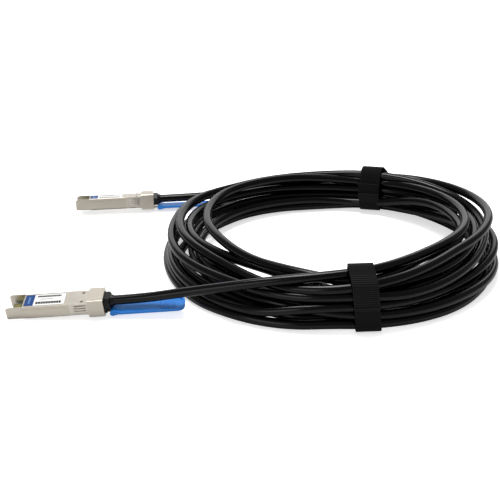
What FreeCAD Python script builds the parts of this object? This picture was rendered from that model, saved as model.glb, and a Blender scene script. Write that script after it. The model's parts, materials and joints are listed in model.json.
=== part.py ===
import FreeCAD, Part
import math
import os

from FreeCAD import Placement, Rotation, Vector

# A direct attach copper cable: two pluggable modules joined by one twin-pair cable that is wound
# into a coil and held by two hook-and-loop ties.  Millimetres, +Z up.  The origin is on the floor,
# under the middle of the box that holds the two modules.  Each module is drawn in its own frame
# first: x runs from the mating end (0) towards the cable, y is across, z is up from its underside.

# ---- module outline (the standard small pluggable form)
BODY_WIDTH = 13.4
BODY_HEIGHT = 8.5
BOTTOM_CHAMFER = 1.1          # long lower edges that key the module in its cage
LATCH_SHOULDER = 45.0         # mating end to the face that the cage's spring bears on
CAGE_STOP = 47.5              # mating end to the collar's shoulder
COLLAR_LENGTH = 9.0
COLLAR_WIDTH = 14.2
COLLAR_BELOW = 1.3
COLLAR_ABOVE = 1.5
COLLAR_ROUND = 0.9

# ---- die-cast shells
WALL = 0.9
SKIRT_LENGTH = 10.4           # the mating bay, open above and below
SKIRT_WALL = 0.7
FLOOR = 1.2
SPLIT_HEIGHT = 6.6            # seam between base and cover
COVER_START = 9.6
COVER_SEAM_STEP = 0.25        # the cover's side is set in by this much
NOSE_BLOCK_START = 36.5       # from here the base is solid, for the latch and the cable
NOSE_FLOOR = 3.0              # floor of the wire channel through that block
WIRE_CHANNEL_WIDTH = 6.4
FIT = 0.05                    # clearance between pieces that seat in each other

# ---- circuit board
BOARD_SETBACK = 1.9
BOARD_WIDTH = 9.2
BOARD_THICKNESS = 1.0
BOARD_HEIGHT = 2.25           # underside of the board
BOARD_END = 35.8
BOARD_LEDGE = 1.1             # how far each ledge reaches under the board
BOARD_NOTCH = 0.15            # play round the housing screws
BOARD_BEVEL = 0.3             # on the mating edge
CONTACT_PITCH = 0.8
CONTACT_WIDTH = 0.5
CONTACT_LENGTH = 3.6
CONTACT_THICKNESS = 0.06
CONTACTS_PER_SIDE = 10
CHIP_LENGTH = 4.9
CHIP_WIDTH = 3.9
CHIP_HEIGHT = 1.5
CHIP_CENTRE = 19.0
CHIP_LEADS_PER_SIDE = 4
CAPACITOR_SIZE = (1.6, 0.8, 0.8)
CAPACITOR_COUNT = 4

# ---- spring clip that bridges the module and its cage
CLIP_START = 36.3
CLIP_SHEET = 0.15
CLIP_RECESS = 0.25            # step in the shells that takes the clip
CLIP_BAND = 2.6               # plain band before the fingers
FINGER_WIDTH = 1.1
FINGER_GAP = 0.55
FINGER_BULGE = 0.5
FINGERS_PER_SIDE = 3
WINDOW_LENGTH = 1.6
WINDOW_WIDTH = 1.7
WINDOW_CENTRE = (44.2, 4.3)   # along and across
WINDOW_DEPTH = 0.6

# ---- cable and its grip
CABLE_DIAMETER = 5.8
CABLE_HEIGHT = 5.0            # cable axis above the underside
FERRULE_START = 51.8
FERRULE_LENGTH = 3.2
FERRULE_WALL = 0.6
BOOT_WIDTH = 11.6
BOOT_HEIGHT = 7.8
BOOT_LENGTH = 3.6             # outside the collar
BOOT_TONGUE = 1.2             # inside the collar
BOOT_TONGUE_INSET = 1.1
BOOT_CORNER = 2.2
BOOT_END_ROUND = 1.0          # on the edges of its cable end
BOOT_LIP = 1.6                # collar on the cable behind it
WIRE_DIAMETER = 1.3
WIRE_END = 33.6

# ---- latch: a slider lifts the tail of a lever and draws its boss into the module
LATCH_BAY_WIDTH = 6.3
LATCH_BAY_ROOF = 2.3
LATCH_BAY_START = 37.5
PIVOT_AT = (39.0, 0.95)       # along and up
PIVOT_PIN_RADIUS = 0.4
PIVOT_CLEARANCE = 0.05
PIVOT_EYE = 0.85
LEVER_WIDTH = 5.2
LEVER_TOP = 1.0
LEVER_BOTTOM = 0.25
LEVER_END = 51.0
BOSS_LENGTH = 2.6
BOSS_WIDTH = 2.6
BOSS_HEIGHT = 0.45
PULL_TRAVEL = 2.5
LEVER_ANGLE = 4.8             # degrees at full travel
BAR_AT = (48.4, -0.35)        # slider's lifting bar at rest
BAR_RADIUS = 0.25
BAR_GAP = 0.12
SLIDER_ARM_INSIDE = 2.9
SLIDER_ARM_OUTSIDE = 4.2
SLIDER_TOP = -0.12
SLIDER_BOTTOM = -1.1
SLIDER_TONGUE = 0.6           # runs in a groove of the collar on each side
SLIDER_TONGUE_HEIGHT = 0.45
SLIDER_RUNNING_GAP = 0.12
SLIDER_WEB = 52.2             # the arms join from here on
SLIDER_END = 61.4
SLIDER_WEB_THICKNESS = 0.5
SPRING_RADIUS = 0.65
SPRING_WIRE = 0.11
SPRING_TURNS = 5
SPRING_STEPS = 12             # straight facets in each turn
SPRING_HEIGHT = 1.0           # spring axis above the underside
SPRING_SIDE = 4.35            # spring axis from the middle
SPRING_LUG = 0.7
SPRING_WALL = 0.9             # collar wall that the springs push against

# ---- pull tab
TAB_WIDTH = 12.4
TAB_THICKNESS = 1.4
TAB_TOP = 0.25
TAB_END = 102.5
TAB_CORNER = 4.0
TAB_ROOT_AT = (60.8, -0.55)
TAB_ROOT_RADIUS = 1.65
TAB_POST_AT = TAB_ROOT_AT[0] - 0.6   # post through the hole in the slider's stem
TAB_POST_RADIUS = 0.75
TAB_NECK = 4.6                # root to the start of the flat paddle
TAB_RIM = 0.5
TAB_RIM_WIDTH = 1.0
GRIP_LENGTH = 12.5            # of the sunken grip, up to the tab's end
GRIP_START = TAB_END - GRIP_LENGTH
GRIP_PITCH = 1.6
GRIP_RIBS = 5
GRIP_HEIGHT = 0.35

# ---- label
LABEL_START = 10.2
LABEL_END = 34.2
LABEL_WIDTH = 11.4
LABEL_THICKNESS = 0.12
LABEL_RECESS = 0.16
LABEL_CORNER = 0.5

# ---- housing screws
SCREW_X = 13.2
SCREW_FROM_SIDE = 1.8         # screw axis from the body's side face
SCREW_SIDE = BODY_WIDTH / 2 - SCREW_FROM_SIDE
SCREW_RADIUS = 0.5
SCREW_HEAD_RADIUS = 0.85
SCREW_HEAD_HEIGHT = 0.6
SCREW_TIP = BODY_HEIGHT - 1.1
SCREW_BOSS = 1.0

# ---- how the two modules lie: mating-end bottom centre, then yaw, pitch and roll in degrees
MODULES_APART = 149.5         # between the two mating ends, across the coil
NEAR_MODULE_AT = -79.5
MODULE_POSES = {
    "near": (Vector(-56.8, NEAR_MODULE_AT, 0), 0.12, -4.08, 7.35),
    "far": (Vector(-44.7, NEAR_MODULE_AT + MODULES_APART, 0), 6.69, -0.27, -9.5),
}

# ---- coil and ties
COIL_CENTRE = Vector(135.8, -7.25, 0)
COIL_REACH = (109.6, 93.5)    # half the coil's size along x and y, outside
COIL_END_TIGHTENING = 7.5     # the round ends' radius is this much under the narrower half
COIL_TURNS_WIDTH = 14.1       # the wound turns side by side, where the ring is narrowest
COIL_END_RADIUS = min(COIL_REACH) - COIL_END_TIGHTENING
COIL_INSIDE = min(COIL_REACH) - COIL_TURNS_WIDTH
COIL_HEIGHT_NEAR = 35.2
COIL_HEIGHT_FAR = 30.1
COIL_EDGE = 4.0
TIE_WIDTH = 14.4
TIE_THICKNESS = 1.1
TIE_CORNER = 3.2
TIE_TAIL_THICKNESS = 0.9      # the strap's free end lies on its own outside
TIE_BUNDLE_WIDTH = 11.7       # two turns side by side, pressed together a little
TIE_BUNDLE_GAP = 1.1          # under the near height of the coil, over the bundle that a tie holds
# place from the coil's centre, turn about Z, width and height of the bundle that it holds
TIES = {
    "near": (Vector(11.5, 5.9 - COIL_REACH[1], 0), 4.0, TIE_BUNDLE_WIDTH, COIL_HEIGHT_NEAR - TIE_BUNDLE_GAP),
    "far": (Vector(35.8, COIL_REACH[1] - 6.9, 0), -10.0, TIE_BUNDLE_WIDTH, COIL_HEIGHT_FAR - TIE_BUNDLE_GAP),
}

# ---- cable leads: after the straight stretch out of each module, points chosen along the route
LEAD_STRAIGHT = 78.0          # distance from the mating end at which the lead may start to bend
LEAD_ROUTES = {
    "near": [Vector(55.8, -82.2, 16.4), Vector(81.8, -86.0, 22.6)],
    "far": [Vector(63.8, 81.2, 13.0), Vector(88.8, 82.6, 18.4), Vector(111.8, 83.1, 22.6)],
}
ARC_SHARE = 0.45


def box(x0, x1, y0, y1, z0, z1):
    return Part.makeBox(x1 - x0, y1 - y0, z1 - z0, Vector(x0, y0, z0))


def across(half_width, x0, x1, z0, z1):
    """A block that lies evenly on both sides of the module's middle plane."""
    return box(x0, x1, -half_width, half_width, z0, z1)


def side_profile(points, y0, y1):
    """Extrude a closed outline given as (x, z) from y0 to y1."""
    corners = [Vector(x, y0, z) for x, z in points]
    face = Part.Face(Part.makePolygon(corners + corners[:1]))
    return face.extrude(Vector(0, y1 - y0, 0))


def end_profile(points, x0, x1):
    """Extrude a closed outline given as (y, z) from x0 to x1."""
    corners = [Vector(x0, y, z) for y, z in points]
    face = Part.Face(Part.makePolygon(corners + corners[:1]))
    return face.extrude(Vector(x1 - x0, 0, 0))


def rod_y(x, z, radius, y0, y1):
    return Part.makeCylinder(radius, y1 - y0, Vector(x, y0, z), Vector(0, 1, 0))


def rod_x(y, z, radius, x0, x1):
    return Part.makeCylinder(radius, x1 - x0, Vector(x0, y, z), Vector(1, 0, 0))


def rod_z(x, y, radius, z0, z1):
    return Part.makeCylinder(radius, z1 - z0, Vector(x, y, z0))


def both_sides(shape):
    """The shape and its mirror image across the module's middle plane."""
    return [shape, shape.mirror(Vector(0, 0, 0), Vector(0, 1, 0))]


def fuse(shapes):
    joined = shapes[0].fuse(shapes[1:]) if len(shapes) > 1 else shapes[0]
    return joined.removeSplitter()


def edges_along_x(shape, test):
    """Straight edges that run along x and whose middle passes the test."""
    found = []
    for edge in shape.Edges:
        if len(edge.Vertexes) != 2:
            continue
        run = edge.Vertexes[1].Point - edge.Vertexes[0].Point
        middle = (edge.Vertexes[1].Point + edge.Vertexes[0].Point) * 0.5
        if abs(run.x) > 0.9 * run.Length and run.Length > 1 and test(middle):
            found.append(edge)
    return found


# ---------------------------------------------------------------- shells

def body_outline(inset):
    """Outline of the module behind the collar, keyed by the chamfers on its lower edges."""
    half = BODY_WIDTH / 2 - inset
    low = inset
    return [
        (-half, low + BOTTOM_CHAMFER),
        (-half + BOTTOM_CHAMFER, low),
        (half - BOTTOM_CHAMFER, low),
        (half, low + BOTTOM_CHAMFER),
        (half, BODY_HEIGHT - inset),
        (-half, BODY_HEIGHT - inset),
    ]


def make_collar():
    """The wider nose that stays outside the cage, with rounded long edges."""
    collar = across(COLLAR_WIDTH / 2, CAGE_STOP, CAGE_STOP + COLLAR_LENGTH,
                    -COLLAR_BELOW, BODY_HEIGHT + COLLAR_ABOVE)
    return collar.makeFillet(COLLAR_ROUND, edges_along_x(collar, lambda middle: True))


def ferrule_bore_radius():
    return CABLE_DIAMETER / 2 + FERRULE_WALL + FIT


def latch_bay():
    """Room under the nose for the lever, the slider and its two springs."""
    collar_end = CAGE_STOP + COLLAR_LENGTH
    lever_room = across(LATCH_BAY_WIDTH / 2, LATCH_BAY_START, LEVER_END + 0.5, -COLLAR_BELOW - 1, LATCH_BAY_ROOF)
    slider_room = across(SLIDER_ARM_OUTSIDE + SLIDER_RUNNING_GAP, CAGE_STOP, collar_end + 1,
                         -COLLAR_BELOW - 1, SLIDER_TOP + SLIDER_RUNNING_GAP)
    grooves = across(SLIDER_ARM_OUTSIDE + SLIDER_TONGUE + SLIDER_RUNNING_GAP, CAGE_STOP, collar_end + 1,
                     SLIDER_TOP - SLIDER_TONGUE_HEIGHT - SLIDER_RUNNING_GAP, SLIDER_TOP + SLIDER_RUNNING_GAP)
    room = SPRING_RADIUS + SPRING_WIRE + FIT
    spring_room = box(CAGE_STOP + FIT, collar_end - SPRING_WALL, SPRING_SIDE - room, SPRING_SIDE + room,
                      SLIDER_TOP, SPRING_HEIGHT + room)
    return [lever_room, slider_room, grooves] + both_sides(spring_room)


def spring_span():
    """Where the return springs sit: from the slider's lugs to the collar's end wall."""
    return (BAR_AT[0] + SPRING_LUG, CAGE_STOP + COLLAR_LENGTH - SPRING_WALL)


def make_housing_base():
    base = end_profile(body_outline(0), 0, CAGE_STOP)
    base = base.cut(across(BODY_WIDTH, COVER_START, CAGE_STOP, SPLIT_HEIGHT, BODY_HEIGHT + 1))
    inside = BODY_WIDTH / 2 - WALL
    base = base.cut(across(inside, SKIRT_LENGTH, NOSE_BLOCK_START, FLOOR, BODY_HEIGHT + 1))
    # the mating bay: only the two skirts are left, and they drop away at their tips
    base = base.cut(across(BODY_WIDTH / 2 - SKIRT_WALL, -1, SKIRT_LENGTH, -1, BODY_HEIGHT + 1))
    tip = side_profile([(-1, BODY_HEIGHT + 1), (-1, BODY_HEIGHT - 1.4), (1.3, BODY_HEIGHT - 0.3),
                        (1.3, BODY_HEIGHT + 1)], -BODY_WIDTH, BODY_WIDTH)
    lead_in = side_profile([(-1, -1), (-1, 2.2), (1.6, -1)], -BODY_WIDTH, BODY_WIDTH)
    base = base.cut(tip).cut(lead_in)
    # ledges that carry the board
    ledge_from = BOARD_WIDTH / 2 - BOARD_LEDGE
    ledge = box(SKIRT_LENGTH, NOSE_BLOCK_START, ledge_from, inside, FLOOR, BOARD_HEIGHT)
    screw_boss = rod_z(SCREW_X, SCREW_SIDE, SCREW_BOSS, FLOOR, BOARD_HEIGHT)
    base = fuse([base] + both_sides(ledge) + both_sides(screw_boss))
    # the step that takes the spring clip
    sleeve = end_profile(body_outline(-1), CLIP_START, CAGE_STOP)
    sleeve = sleeve.cut(end_profile(body_outline(CLIP_RECESS), CLIP_START - 1, CAGE_STOP + 1))
    base = base.cut(sleeve)
    base = fuse([base, make_collar()])
    # the way in for the wires, the ferrule's seat and the boot's pocket
    collar_end = CAGE_STOP + COLLAR_LENGTH
    channel = across(WIRE_CHANNEL_WIDTH / 2, NOSE_BLOCK_START - 1, FERRULE_START, NOSE_FLOOR, SPLIT_HEIGHT + FIT)
    seat = rod_x(0, CABLE_HEIGHT, ferrule_bore_radius(), FERRULE_START, collar_end + 1)
    pocket_half = BOOT_WIDTH / 2 - BOOT_TONGUE_INSET + FIT
    pocket = box(collar_end - BOOT_TONGUE - FIT, collar_end + 1, -pocket_half, pocket_half,
                 CABLE_HEIGHT - BOOT_HEIGHT / 2 + BOOT_TONGUE_INSET - FIT,
                 CABLE_HEIGHT + BOOT_HEIGHT / 2 - BOOT_TONGUE_INSET + FIT)
    for room in [channel, seat, pocket] + latch_bay():
        base = base.cut(room)
    pin_hole = rod_y(PIVOT_AT[0], PIVOT_AT[1], PIVOT_PIN_RADIUS, -BODY_WIDTH / 2 + 1.2, BODY_WIDTH / 2 - 1.2)
    base = base.cut(pin_hole)
    for screw_y in (-SCREW_SIDE, SCREW_SIDE):
        base = base.cut(rod_z(SCREW_X, screw_y, SCREW_RADIUS + FIT, -1, BOARD_HEIGHT + 1))
        base = base.cut(rod_z(SCREW_X, screw_y, SCREW_HEAD_RADIUS + FIT, -1, SCREW_HEAD_HEIGHT))
    return base.removeSplitter()


def make_housing_cover():
    half = BODY_WIDTH / 2 - COVER_SEAM_STEP
    inside = BODY_WIDTH / 2 - WALL
    cover_end = CAGE_STOP - FIT
    cover = across(half, COVER_START + FIT, cover_end, SPLIT_HEIGHT, BODY_HEIGHT)
    cover = cover.makeFillet(0.4, edges_along_x(cover, lambda middle: middle.z > BODY_HEIGHT - 0.01))
    cover = cover.cut(across(inside - 0.6, COVER_START + WALL, NOSE_BLOCK_START, SPLIT_HEIGHT - 1, BODY_HEIGHT - WALL))
    cover = cover.cut(across(WIRE_CHANNEL_WIDTH / 2, NOSE_BLOCK_START - 1, cover_end + 1,
                             SPLIT_HEIGHT - 1, SPLIT_HEIGHT + 0.6))
    sleeve = across(BODY_WIDTH, CLIP_START, cover_end + 1, SPLIT_HEIGHT - 1, BODY_HEIGHT + 1)
    sleeve = sleeve.cut(across(BODY_WIDTH / 2 - CLIP_RECESS, CLIP_START - 1, cover_end + 2,
                               SPLIT_HEIGHT - 2, BODY_HEIGHT - CLIP_RECESS))
    cover = cover.cut(sleeve)
    # two pockets behind the clip's windows, and the shallow recess for the label
    for side in (-1, 1):
        y = side * WINDOW_CENTRE[1]
        cover = cover.cut(box(WINDOW_CENTRE[0] - WINDOW_LENGTH / 2, WINDOW_CENTRE[0] + WINDOW_LENGTH / 2,
                              y - WINDOW_WIDTH / 2, y + WINDOW_WIDTH / 2,
                              BODY_HEIGHT - CLIP_RECESS - WINDOW_DEPTH, BODY_HEIGHT + 1))
        boss = rod_z(SCREW_X, side * SCREW_SIDE, SCREW_BOSS, SPLIT_HEIGHT, BODY_HEIGHT - WALL)
        cover = cover.fuse(boss)
        cover = cover.cut(rod_z(SCREW_X, side * SCREW_SIDE, SCREW_RADIUS, SPLIT_HEIGHT - 1, SCREW_TIP))
    recess = label_plate(FIT, BODY_HEIGHT - LABEL_RECESS, BODY_HEIGHT + 1)
    return cover.cut(recess).removeSplitter()


def label_plate(grow, z0, z1):
    plate = across(LABEL_WIDTH / 2 + grow, LABEL_START - grow, LABEL_END + grow, z0, z1)
    upright = [edge for edge in plate.Edges
               if abs(edge.Vertexes[0].Z - edge.Vertexes[-1].Z) > (z1 - z0) / 2]
    return plate.makeFillet(LABEL_CORNER, upright)


def make_label():
    low = BODY_HEIGHT - LABEL_RECESS
    return label_plate(0, low, low + LABEL_THICKNESS)


def make_housing_screws():
    screws = []
    for side in (-1, 1):
        y = side * SCREW_SIDE
        shank = rod_z(SCREW_X, y, SCREW_RADIUS, SCREW_HEAD_HEIGHT - FIT, SCREW_TIP - FIT)
        head = rod_z(SCREW_X, y, SCREW_HEAD_RADIUS, FIT, SCREW_HEAD_HEIGHT - FIT)
        drive = box(SCREW_X - 0.55, SCREW_X + 0.55, y - 0.12, y + 0.12, 0, 0.35)
        cross = box(SCREW_X - 0.12, SCREW_X + 0.12, y - 0.55, y + 0.55, 0, 0.35)
        screws.append(shank.fuse(head).cut(drive).cut(cross))
    return Part.makeCompound(screws)


# ---------------------------------------------------------------- board

def make_circuit_board():
    board = across(BOARD_WIDTH / 2, BOARD_SETBACK, BOARD_END, BOARD_HEIGHT, BOARD_HEIGHT + BOARD_THICKNESS)
    # the mating edge is bevelled above and below
    bevel = BOARD_BEVEL
    edge_face = [(BOARD_SETBACK - 1, -1.0), (BOARD_SETBACK - 1, bevel), (BOARD_SETBACK, bevel),
                 (BOARD_SETBACK + 2 * bevel, 0), (BOARD_SETBACK + 2 * bevel, -1.0)]
    under = [(x, BOARD_HEIGHT + z) for x, z in edge_face]
    over = [(x, BOARD_HEIGHT + BOARD_THICKNESS - z) for x, z in edge_face]
    board = board.cut(side_profile(under, -BODY_WIDTH, BODY_WIDTH))
    board = board.cut(side_profile(over, -BODY_WIDTH, BODY_WIDTH))
    # a notch on each edge lets the housing screw past
    for side in (-1, 1):
        notch = rod_z(SCREW_X, side * SCREW_SIDE, SCREW_RADIUS + BOARD_NOTCH, 0, BODY_HEIGHT)
        board = board.cut(notch)
    return board


def make_contact_fingers():
    first = -(CONTACTS_PER_SIDE - 1) / 2 * CONTACT_PITCH
    start = BOARD_SETBACK + 0.7
    pads = []
    for index in range(CONTACTS_PER_SIDE):
        y = first + index * CONTACT_PITCH
        long_pad = index in (0, CONTACTS_PER_SIDE - 1)
        end = start + CONTACT_LENGTH + (0.4 if long_pad else 0)
        top = BOARD_HEIGHT + BOARD_THICKNESS
        for z in (top, BOARD_HEIGHT - CONTACT_THICKNESS):
            pads.append(box(start, end, y - CONTACT_WIDTH / 2, y + CONTACT_WIDTH / 2, z, z + CONTACT_THICKNESS))
    return Part.makeCompound(pads)


def make_memory_chip():
    top = BOARD_HEIGHT + BOARD_THICKNESS
    x0 = CHIP_CENTRE - CHIP_LENGTH / 2
    stand = 0.15
    package = across(CHIP_WIDTH / 2 - 0.5, x0, x0 + CHIP_LENGTH, top + stand, top + CHIP_HEIGHT)
    package = package.makeChamfer(0.2, [edge for edge in package.Edges if edge.CenterOfMass.z > top + CHIP_HEIGHT - 0.01])
    leads = []
    pitch = 1.27
    for index in range(CHIP_LEADS_PER_SIDE):
        x = CHIP_CENTRE + (index - (CHIP_LEADS_PER_SIDE - 1) / 2) * pitch
        outline = [(-CHIP_WIDTH / 2 + 0.4, top + 0.6), (-CHIP_WIDTH / 2 + 0.1, top + 0.6),
                   (-CHIP_WIDTH / 2 - 0.1, top), (-CHIP_WIDTH / 2 - 0.6, top),
                   (-CHIP_WIDTH / 2 - 0.6, top + 0.2), (-CHIP_WIDTH / 2 - 0.25, top + 0.2),
                   (-CHIP_WIDTH / 2 - 0.02, top + 0.8), (-CHIP_WIDTH / 2 + 0.55, top + 0.8),
                   (-CHIP_WIDTH / 2 + 0.55, top + 0.6)]
        leads += both_sides(end_profile(outline, x - 0.2, x + 0.2))
    return fuse([package] + leads)


def make_capacitors():
    length, width, height = CAPACITOR_SIZE
    top = BOARD_HEIGHT + BOARD_THICKNESS
    parts = []
    for index in range(CAPACITOR_COUNT):
        x = CHIP_CENTRE + CHIP_LENGTH / 2 + 2.2
        y = (index - (CAPACITOR_COUNT - 1) / 2) * 2.0
        body = box(x, x + length, y - width / 2, y + width / 2, top, top + height)
        parts.append(body.makeFillet(0.12, body.Edges))
    return Part.makeCompound(parts)


def make_signal_wires():
    """Two shielded pairs, laid on the board's upper face and soldered to it."""
    height = BOARD_HEIGHT + BOARD_THICKNESS + WIRE_DIAMETER / 2
    wires = []
    for index in range(4):
        y = (index - 1.5) * (WIRE_DIAMETER + FIT)
        wires.append(rod_x(y, height, WIRE_DIAMETER / 2, WIRE_END, FERRULE_START))
    return Part.makeCompound(wires)


# ---------------------------------------------------------------- spring clip

def finger(rise_from, rise_to, width, centre):
    """A strip that bows outwards between its ends; drawn on the module's far side."""
    base = BODY_WIDTH / 2 - CLIP_RECESS + FIT
    middle = Vector((rise_from + rise_to) / 2, base + FINGER_BULGE, 0)
    start = Vector(rise_from, base, 0)
    end = Vector(rise_to, base, 0)
    out = Vector(0, CLIP_SHEET, 0)
    inner = Part.Arc(start, middle, end).toShape()
    outer = Part.Arc(start + out, middle + out, end + out).toShape()
    sides = [Part.makeLine(start, start + out), Part.makeLine(end, end + out)]
    wire = Part.Wire(Part.__sortEdges__([inner, sides[1], outer, sides[0]]))
    strip = Part.Face(wire).extrude(Vector(0, 0, width))
    strip.translate(Vector(0, 0, centre - width / 2))
    return strip


def make_spring_clip():
    start = CLIP_START + FIT
    end = CAGE_STOP - FIT
    fingers_from = start + CLIP_BAND
    fingers_to = end - 0.8
    outer = end_profile(body_outline(CLIP_RECESS - FIT - CLIP_SHEET), start, end)
    clip = outer.cut(end_profile(body_outline(CLIP_RECESS - FIT), start - 1, end + 1))
    # the side walls are slit into fingers
    pitch = FINGER_WIDTH + FINGER_GAP
    low = BOTTOM_CHAMFER + 0.9
    high = low + FINGERS_PER_SIDE * pitch + FINGER_GAP
    half = BODY_WIDTH / 2
    side_window = box(fingers_from, fingers_to, half - 1, half + 1, low, high)
    for window in both_sides(side_window):
        clip = clip.cut(window)
    # the lower wall leaves the latch free
    clip = clip.cut(across(LATCH_BAY_WIDTH / 2 + 0.3, LATCH_BAY_START - 0.6, end + 1, -1, BOTTOM_CHAMFER))
    # two windows in the upper wall
    for side in (-1, 1):
        y = side * WINDOW_CENTRE[1]
        clip = clip.cut(box(WINDOW_CENTRE[0] - WINDOW_LENGTH / 2, WINDOW_CENTRE[0] + WINDOW_LENGTH / 2,
                            y - WINDOW_WIDTH / 2, y + WINDOW_WIDTH / 2, BODY_HEIGHT - 1, BODY_HEIGHT + 1))
    strips = []
    for index in range(FINGERS_PER_SIDE):
        centre = low + FINGER_GAP + FINGER_WIDTH / 2 + index * pitch
        strips += both_sides(finger(fingers_from - 0.05, fingers_to + 0.05, FINGER_WIDTH, centre))
    return fuse([clip] + strips)


# ---------------------------------------------------------------- cable grip

def make_ferrule():
    ring = rod_x(0, CABLE_HEIGHT, CABLE_DIAMETER / 2 + FERRULE_WALL, FERRULE_START, FERRULE_START + FERRULE_LENGTH)
    ring = ring.cut(rod_x(0, CABLE_HEIGHT, CABLE_DIAMETER / 2, FERRULE_START - 1, FERRULE_START + FERRULE_LENGTH + 1))
    # two crimped rows pinch the ring
    for share in (0.3, 0.7):
        x = FERRULE_START + share * FERRULE_LENGTH
        groove = rod_x(0, CABLE_HEIGHT, CABLE_DIAMETER, x - 0.2, x + 0.2)
        groove = groove.cut(rod_x(0, CABLE_HEIGHT, CABLE_DIAMETER / 2 + FERRULE_WALL * 0.6, x - 1, x + 1))
        ring = ring.cut(groove)
    return ring


def octagon(half_width, half_height, corner, x0, x1):
    outline = [
        (-half_width, -half_height + corner), (-half_width + corner, -half_height),
        (half_width - corner, -half_height), (half_width, -half_height + corner),
        (half_width, half_height - corner), (half_width - corner, half_height),
        (-half_width + corner, half_height), (-half_width, half_height - corner),
    ]
    return end_profile([(y, CABLE_HEIGHT + z) for y, z in outline], x0, x1)


def make_strain_relief():
    """Moulded grip: a tongue inside the collar, a block outside it and a taper on the cable."""
    collar_end = CAGE_STOP + COLLAR_LENGTH
    boot_end = collar_end + BOOT_LENGTH
    half_w = BOOT_WIDTH / 2
    half_h = BOOT_HEIGHT / 2
    tongue = across(half_w - BOOT_TONGUE_INSET, collar_end - BOOT_TONGUE, collar_end,
                    CABLE_HEIGHT - half_h + BOOT_TONGUE_INSET, CABLE_HEIGHT + half_h - BOOT_TONGUE_INSET)
    block = octagon(half_w, half_h, BOOT_CORNER, collar_end, boot_end)
    end_edges = [edge for edge in block.Edges if edge.BoundBox.XMin > boot_end - 0.01]
    block = block.makeFillet(BOOT_END_ROUND, end_edges)
    taper = Part.makeCone(CABLE_DIAMETER / 2 + 0.7, CABLE_DIAMETER / 2 + 0.35, BOOT_LIP,
                          Vector(boot_end, 0, CABLE_HEIGHT), Vector(1, 0, 0))
    boot = fuse([tongue, block, taper])
    return boot.cut(rod_x(0, CABLE_HEIGHT, CABLE_DIAMETER / 2, collar_end - BOOT_TONGUE - 1, boot_end + BOOT_LIP + 1))


# ---------------------------------------------------------------- latch

def turned(x, z, degrees):
    """A point of the module's side view, turned about the lever's pivot."""
    angle = math.radians(degrees)
    dx = x - PIVOT_AT[0]
    dz = z - PIVOT_AT[1]
    return (PIVOT_AT[0] + dx * math.cos(angle) - dz * math.sin(angle),
            PIVOT_AT[1] + dx * math.sin(angle) + dz * math.cos(angle))


def lever_ramp():
    """Underside of the lever's tail: the bar's path as the lever sees it, moved off by the gap."""
    first = BAR_AT
    last = turned(BAR_AT[0] + PULL_TRAVEL, BAR_AT[1], -LEVER_ANGLE)
    run = math.hypot(last[0] - first[0], last[1] - first[1])
    along = ((last[0] - first[0]) / run, (last[1] - first[1]) / run)
    normal = (-along[1], along[0])
    offset = BAR_RADIUS + BAR_GAP
    start = (first[0] + normal[0] * offset - along[0] * offset, first[1] + normal[1] * offset - along[1] * offset)
    slope = along[1] / along[0]
    return start, (LEVER_END, start[1] + slope * (LEVER_END - start[0]))


def make_latch_lever():
    ramp_start, ramp_end = lever_ramp()
    flat_end = ramp_start[0] + (LEVER_BOTTOM - ramp_start[1]) * (ramp_start[0] - ramp_end[0]) / (ramp_start[1] - ramp_end[1])
    boss_start = LATCH_SHOULDER - BOSS_LENGTH
    arm = side_profile([(PIVOT_AT[0], LEVER_TOP + 0.5), (PIVOT_AT[0], LEVER_BOTTOM), (flat_end, LEVER_BOTTOM),
                        ramp_end, (LEVER_END, LEVER_TOP - 0.1), (PIVOT_AT[0] + 3, LEVER_TOP)],
                       -LEVER_WIDTH / 2, LEVER_WIDTH / 2)
    eye = rod_y(PIVOT_AT[0], PIVOT_AT[1], PIVOT_EYE, -LEVER_WIDTH / 2, LEVER_WIDTH / 2)
    boss = side_profile([(boss_start, LEVER_BOTTOM + 0.2), (boss_start, 0.05), (LATCH_SHOULDER - 0.5, -BOSS_HEIGHT),
                         (LATCH_SHOULDER, -BOSS_HEIGHT), (LATCH_SHOULDER, LEVER_BOTTOM + 0.2)],
                        -BOSS_WIDTH / 2, BOSS_WIDTH / 2)
    lever = fuse([arm, eye, boss])
    return lever.cut(rod_y(PIVOT_AT[0], PIVOT_AT[1], PIVOT_PIN_RADIUS + PIVOT_CLEARANCE, -BODY_WIDTH, BODY_WIDTH))


def make_latch_pin():
    half = BODY_WIDTH / 2 - 1.2
    return rod_y(PIVOT_AT[0], PIVOT_AT[1], PIVOT_PIN_RADIUS, -half, half)


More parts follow.
